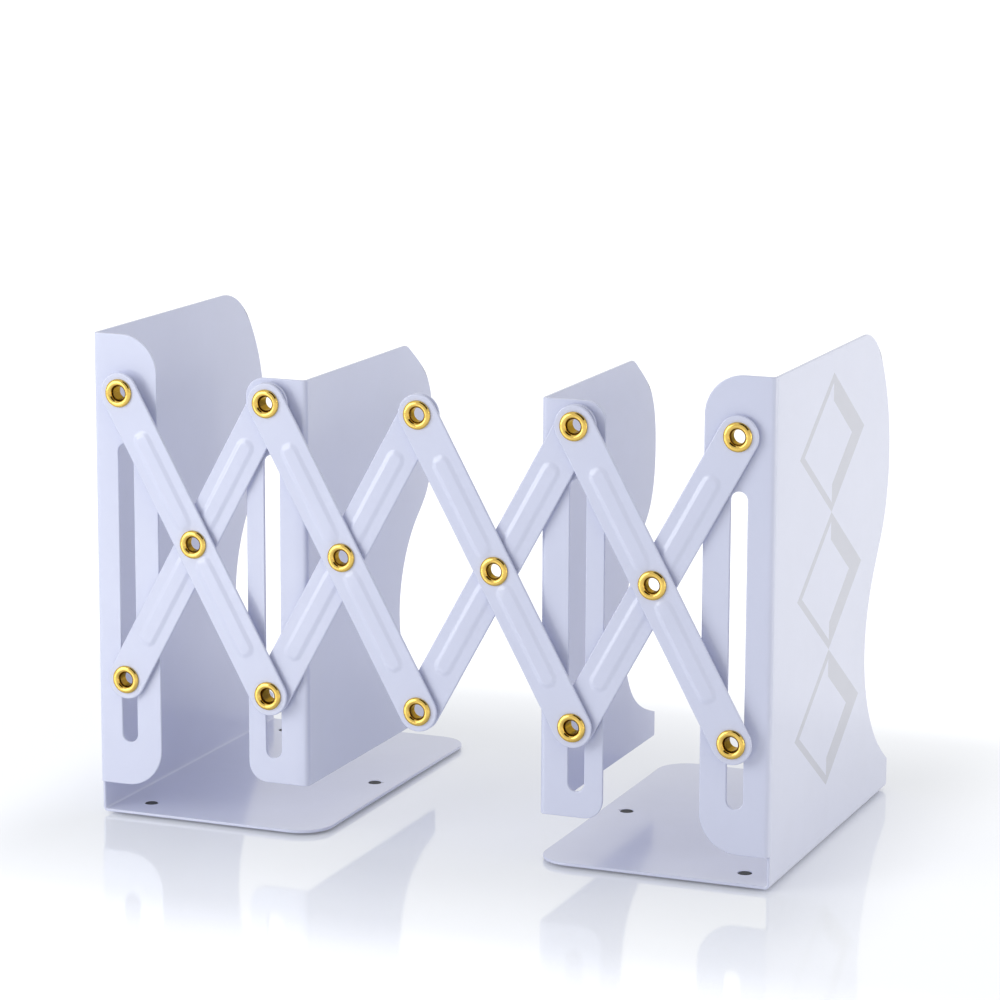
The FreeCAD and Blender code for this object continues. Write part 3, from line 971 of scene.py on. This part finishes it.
def new_material(name):
    """New material with a Principled shader, as (material, tree, shader, place on the object)."""
    material = bpy.data.materials.new(name)
    material.use_nodes = True
    tree = material.node_tree
    tree.nodes.clear()
    shader = tree.nodes.new("ShaderNodeBsdfPrincipled")
    add(tree, "ShaderNodeOutputMaterial", {"Surface": shader.outputs[0]})
    return material, tree, shader, add(tree, "ShaderNodeTexCoord").outputs["Object"]


def bump(tree, height, distance):
    """Normal of a surface with this height."""
    return add(tree, "ShaderNodeBump", {
        "Height": height, "Distance": distance, "Strength": 1.0}).outputs[0]


def coat_material(name, printed):
    """Gloss powder coat, with the pale print on the outer face where printed is true."""
    if name in bpy.data.materials:
        return bpy.data.materials[name]
    s = bpy.context.scene.bookend_finishes
    material, tree, shader, place = new_material(name)
    surface = placed_effect(tree, "Coat surface", coat_surface, {
        "Place": place, "Ripple size": 0.0011, "Ripple": 0.000012, "Wave": 0.00022})
    colour = rgba(s.coat)
    if printed:
        mask = placed_effect(tree, "Lozenge print", lozenge_print, {
            "Place": place, "Face": END_HIGH.x - PRINT_DEPTH, "Centre": s.print_centre,
            "Foot": s.print_foot, "Half width": s.print_half,
            "Half height": s.print_tall})["Mask"]
        colour = mixed(tree, mask, colour, rgba(s.print_colour))
    feed(tree, shader, {
        "Base Color": mixed(tree, 1.0, colour, grey(tree, surface["Shade"]), "MULTIPLY"),
        "Roughness": maths(tree, "MULTIPLY_ADD", surface["Dulling"], 0.07, 0.17),
        "Normal": bump(tree, surface["Height"], 1.0),
        "IOR": 1.5, "Coat Weight": 0.25, "Coat Roughness": 0.08})
    return material


def brass_material():
    """Polished brass with faint tarnish and turning marks, and painted shade that leaves it
    brown and dull in the bore.
    """
    material, tree, shader, place = new_material("Polished brass")
    base = np.array(bpy.context.scene.bookend_finishes.brass)
    tarnish = ramp(tree, noise(tree, place, 260.0, 4.0, 0.6), 0.35, 0.75, 0.0, 0.35)
    colour = mixed(tree, tarnish, rgba(base), rgba(base * (0.86, 0.74, 0.55)))
    # Painted shade: Bore turns the brass brown and dull inside the bore.
    bore = add(tree, "ShaderNodeAttribute", attribute_name="Bore").outputs["Fac"]
    scratch = noise(tree, vector(tree, "MULTIPLY", place, (1.0, 7.0, 1.0)), 1500.0, 3.0)
    rough = ramp(tree, scratch, 0.3, 0.7, 0.10, 0.15)
    feed(tree, shader, {
        "Base Color": mixed(tree, bore, colour, rgba(base * (0.42, 0.35, 0.30))),
        "Roughness": maths(tree, "MULTIPLY_ADD", bore, 0.10, rough),
        "Normal": bump(tree, scratch, 0.000008),
        "Metallic": 1.0, "Specular Tint": (0.95, 0.78, 0.42, 1.0)})
    return material


def moulded_material(name, colour, shades, grain, roughness, depth):
    """Matt moulded stuff whose shade, roughness and height all follow one grain."""
    material, tree, shader, place = new_material(name)
    cloud = noise(tree, place, grain, 3.0)
    dark, pale = (rgba(np.array(colour) * shade) for shade in shades)
    feed(tree, shader, {
        "Base Color": mixed(tree, cloud, dark, pale),
        "Roughness": ramp(tree, cloud, 0.0, 1.0, *roughness),
        "Normal": bump(tree, cloud, depth)})
    return material


def nylon_material():
    """Matt nylon with faint clouds."""
    return moulded_material("Moulded nylon", bpy.context.scene.bookend_finishes.nylon,
                            (0.94, 1.0), 700.0, (0.42, 0.58), 0.00002)


def rubber_material():
    """Matt rubber with a fine grain."""
    return moulded_material("Moulded rubber", bpy.context.scene.bookend_finishes.rubber,
                            (0.8, 1.35), 2600.0, (0.55, 0.8), 0.00003)


# Stage

FLOOR_HALF = 14.0
SHEET_CELLS = 8
LAMP_SIZE = 0.6
KEY_PLACE = (1.1, 0.1, 0.15)
KEY_COLOUR = (1.0, 0.965, 0.84)
FILL_PLACE = (-0.65, -0.78, 0.35)
FILL_COLOUR = (0.98, 1.0, 1.0)
SKY_COLOUR = (0.985, 1.0, 1.0)
GLOW_NEAR = 0.11
GLOW_AWAY = 0.26
GLOW_REACH = 0.12
FRONT_GLOW = 0.2
FRONT_GLOW_STARTS = 0.07
FRONT_GLOW_ENDS = 0.14
CARD_CORNER = (0.55, -0.95, 0.50)
CARD_SIDES = (0.35, 1.0, 0.27), (-0.795, 0.0575, 0.8025)


def seen_in_pictures(tree):
    """One where the camera sees a surface by itself, mirrored or through glass, else zero."""
    path = add(tree, "ShaderNodeLightPath").outputs
    direct = maths(tree, "MAXIMUM", path["Is Camera Ray"], path["Is Glossy Ray"])
    return maths(tree, "MAXIMUM", direct, path["Is Transmission Ray"])


def floor_material(colour):
    """Pale lacquered board that holds the object's shadow and a soft mirror image.

    It glows faintly in pictures, which is painted light: more with the distance from the object's
    box, which counts double sideways, and more again some way in front of the box and behind it,
    so the floor is left darker round the object, a painted shade."""
    material, tree, shader, place = new_material("Lacquered board")
    cloud = noise(tree, place, 3.0, 3.0)
    half = tuple((CAD_BOX[1] - CAD_BOX[0]) / 2)
    outside = vector(tree, "SUBTRACT", vector(tree, "ABSOLUTE", place), half)
    outside = vector(tree, "MAXIMUM", outside)
    before = add(tree, "ShaderNodeSeparateXYZ", {0: outside}).outputs["Y"]
    away = add(tree, "ShaderNodeVectorMath", {
        0: vector(tree, "MULTIPLY", outside, (2.0, 1.0, 1.0))}, operation="LENGTH")
    # Painted light: the floor's glow, weakest near the box, which leaves painted shade round the
    # object.
    glow = ramp(tree, away.outputs["Value"], 0.0, GLOW_REACH, GLOW_NEAR, GLOW_AWAY, "SMOOTHSTEP")
    more = ramp(tree, before, FRONT_GLOW_STARTS, FRONT_GLOW_ENDS, 0.0, FRONT_GLOW, "SMOOTHSTEP")
    glow = maths(tree, "MULTIPLY", seen_in_pictures(tree), maths(tree, "ADD", glow, more))
    feed(tree, shader, {
        "Base Color": mixed(tree, cloud, rgba(np.array(colour) * 0.985), rgba(colour)),
        "Roughness": ramp(tree, cloud, 0.0, 1.0, 0.05, 0.08),
        "Emission Color": grey(tree, glow), "Emission Strength": 1.0, "IOR": 2.0})
    return material


def card_material():
    """Dark felt of the card that only mirrors see."""
    material, tree, shader, place = new_material("Dark felt")
    nap = noise(tree, place, 9.0, 2.0)
    feed(tree, shader, {
        "Base Color": mixed(tree, nap, (0.03, 0.025, 0.02, 1.0), (0.06, 0.05, 0.04, 1.0)),
        "Roughness": 1.0})
    return material


def stage_sheet(name, corner, sides, material):
    """Flat sheet of the stage: its corner plus shares of its two sides."""
    share = np.linspace(0, 1, SHEET_CELLS + 1)
    first, second = np.array(sides)
    points = (np.asarray(corner) + share[:, None, None] * first
              + share[None, :, None] * second).reshape(-1, 3)
    mesh = bpy.data.meshes.new(name)
    faces = facing(points, quads(len(share), len(share), False), np.cross(first, second))
    mesh.from_pydata(points.tolist(), [], faces.tolist())
    mesh.materials.append(material)
    sheet = in_scene(name, mesh)
    return sheet


def lamp(name, place, power, colour):
    """Square soft lamp that points at the middle of the object and isn't seen by the camera."""
    light = bpy.data.lights.new(name, "AREA")
    light.shape = "SQUARE"
    light.size = LAMP_SIZE
    light.energy = power
    light.color = colour
    made = in_scene(name, light)
    middle = (CAD_BOX[0] + CAD_BOX[1]) / 2
    made.location = place
    made.rotation_euler = (middle - made.location).to_track_quat("-Z", "Y").to_euler()
    made.visible_camera = False


def soft_sky(strength):
    """World that lights the object evenly and is white in pictures."""
    world = bpy.data.worlds.new("Studio")
    bpy.context.scene.world = world
    world.use_nodes = True
    tree = world.node_tree
    tree.nodes.clear()
    seen = seen_in_pictures(tree)
    sky = add(tree, "ShaderNodeBackground", {
        "Color": mixed(tree, seen, rgba(SKY_COLOUR), (1.0, 1.0, 1.0, 1.0)),
        "Strength": maths(tree, "MAXIMUM", seen, strength)})
    add(tree, "ShaderNodeOutputWorld", {"Surface": sky.outputs[0]})


def set_camera(s):
    """Camera of the photograph: rolled, tilted down from the level and turned, in that order."""
    view = bpy.data.cameras.new("Camera")
    view.sensor_width = 36.0
    view.lens = s.lens
    view.clip_start = 0.05
    view.clip_end = 100.0
    camera = in_scene("Camera", view)
    tilt = Matrix.Rotation(math.pi / 2 - s.elevation, 4, "X") @ Matrix.Rotation(s.roll, 4, "Z")
    turned = Matrix.Rotation(s.azimuth, 4, "Z") @ tilt
    camera.matrix_world = Matrix.Translation(s.place) @ turned
    bpy.context.scene.camera = camera


class BOOKEND_OT_stage(bpy.types.Operator):
    """Sets the floor, the light and the camera"""

    bl_idname = "bookend.stage"
    bl_label = "Stage"

    def execute(self, context):
        s = context.scene.bookend_stage
        stage_sheet("floor", (-FLOOR_HALF, -FLOOR_HALF, CAD_BOX[0].z),
                    ((2 * FLOOR_HALF, 0, 0), (0, 2 * FLOOR_HALF, 0)), floor_material(s.floor))
        card = stage_sheet("dark_card", CARD_CORNER, CARD_SIDES, card_material())
        for ray in ("camera", "diffuse", "shadow", "transmission"):
            setattr(card, f"visible_{ray}", False)
        soft_sky(s.world)
        lamp("Key", KEY_PLACE, s.key, KEY_COLOUR)
        lamp("Fill", FILL_PLACE, s.fill, FILL_COLOUR)
        set_camera(s)
        context.scene.view_settings.view_transform = "Standard"
        return {"FINISHED"}


# Panel and registration

SETTINGS = (
    ("bookend_plates", BookendPlateSettings),
    ("bookend_links", BookendLinkSettings),
    ("bookend_fittings", BookendFittingSettings),
    ("bookend_finishes", BookendFinishSettings),
    ("bookend_stage", BookendStageSettings),
)
OPERATORS = (
    BOOKEND_OT_end_plates, BOOKEND_OT_dividers, BOOKEND_OT_links, BOOKEND_OT_eyelets,
    BOOKEND_OT_washers, BOOKEND_OT_feet, BOOKEND_OT_stage,
)


class BOOKEND_PT_sidebar(bpy.types.Panel):
    """Settings and steps of the bookend"""

    bl_idname = "BOOKEND_PT_sidebar"
    bl_label = "Extending bookend"
    bl_space_type = "VIEW_3D"
    bl_region_type = "UI"
    bl_category = "Bookend"

    def draw(self, context):
        for attribute, group in SETTINGS:
            box = self.layout.box()
            box.label(text=group.__name__.replace("Bookend", "").replace("Settings", ""))
            for key in group.__annotations__:
                box.prop(getattr(context.scene, attribute), key)
        for operator in OPERATORS:
            self.layout.operator(operator.bl_idname)


def register():
    """Registers the settings, the steps and the panel."""
    for attribute, group in SETTINGS:
        bpy.utils.register_class(group)
        setattr(bpy.types.Scene, attribute, bpy.props.PointerProperty(type=group))
    for operator in OPERATORS:
        bpy.utils.register_class(operator)
    bpy.utils.register_class(BOOKEND_PT_sidebar)


def unregister():
    """Takes back what register did."""
    bpy.utils.unregister_class(BOOKEND_PT_sidebar)
    for operator in reversed(OPERATORS):
        bpy.utils.unregister_class(operator)
    for attribute, group in reversed(SETTINGS):
        delattr(bpy.types.Scene, attribute)
        bpy.utils.unregister_class(group)


def main():
    """Builds everything."""
    register()
    bpy.ops.bookend.end_plates()
    bpy.ops.bookend.dividers()
    bpy.ops.bookend.links()
    bpy.ops.bookend.eyelets()
    bpy.ops.bookend.washers()
    bpy.ops.bookend.feet()
    bpy.ops.bookend.stage()


if __name__ == "__main__":
    main()
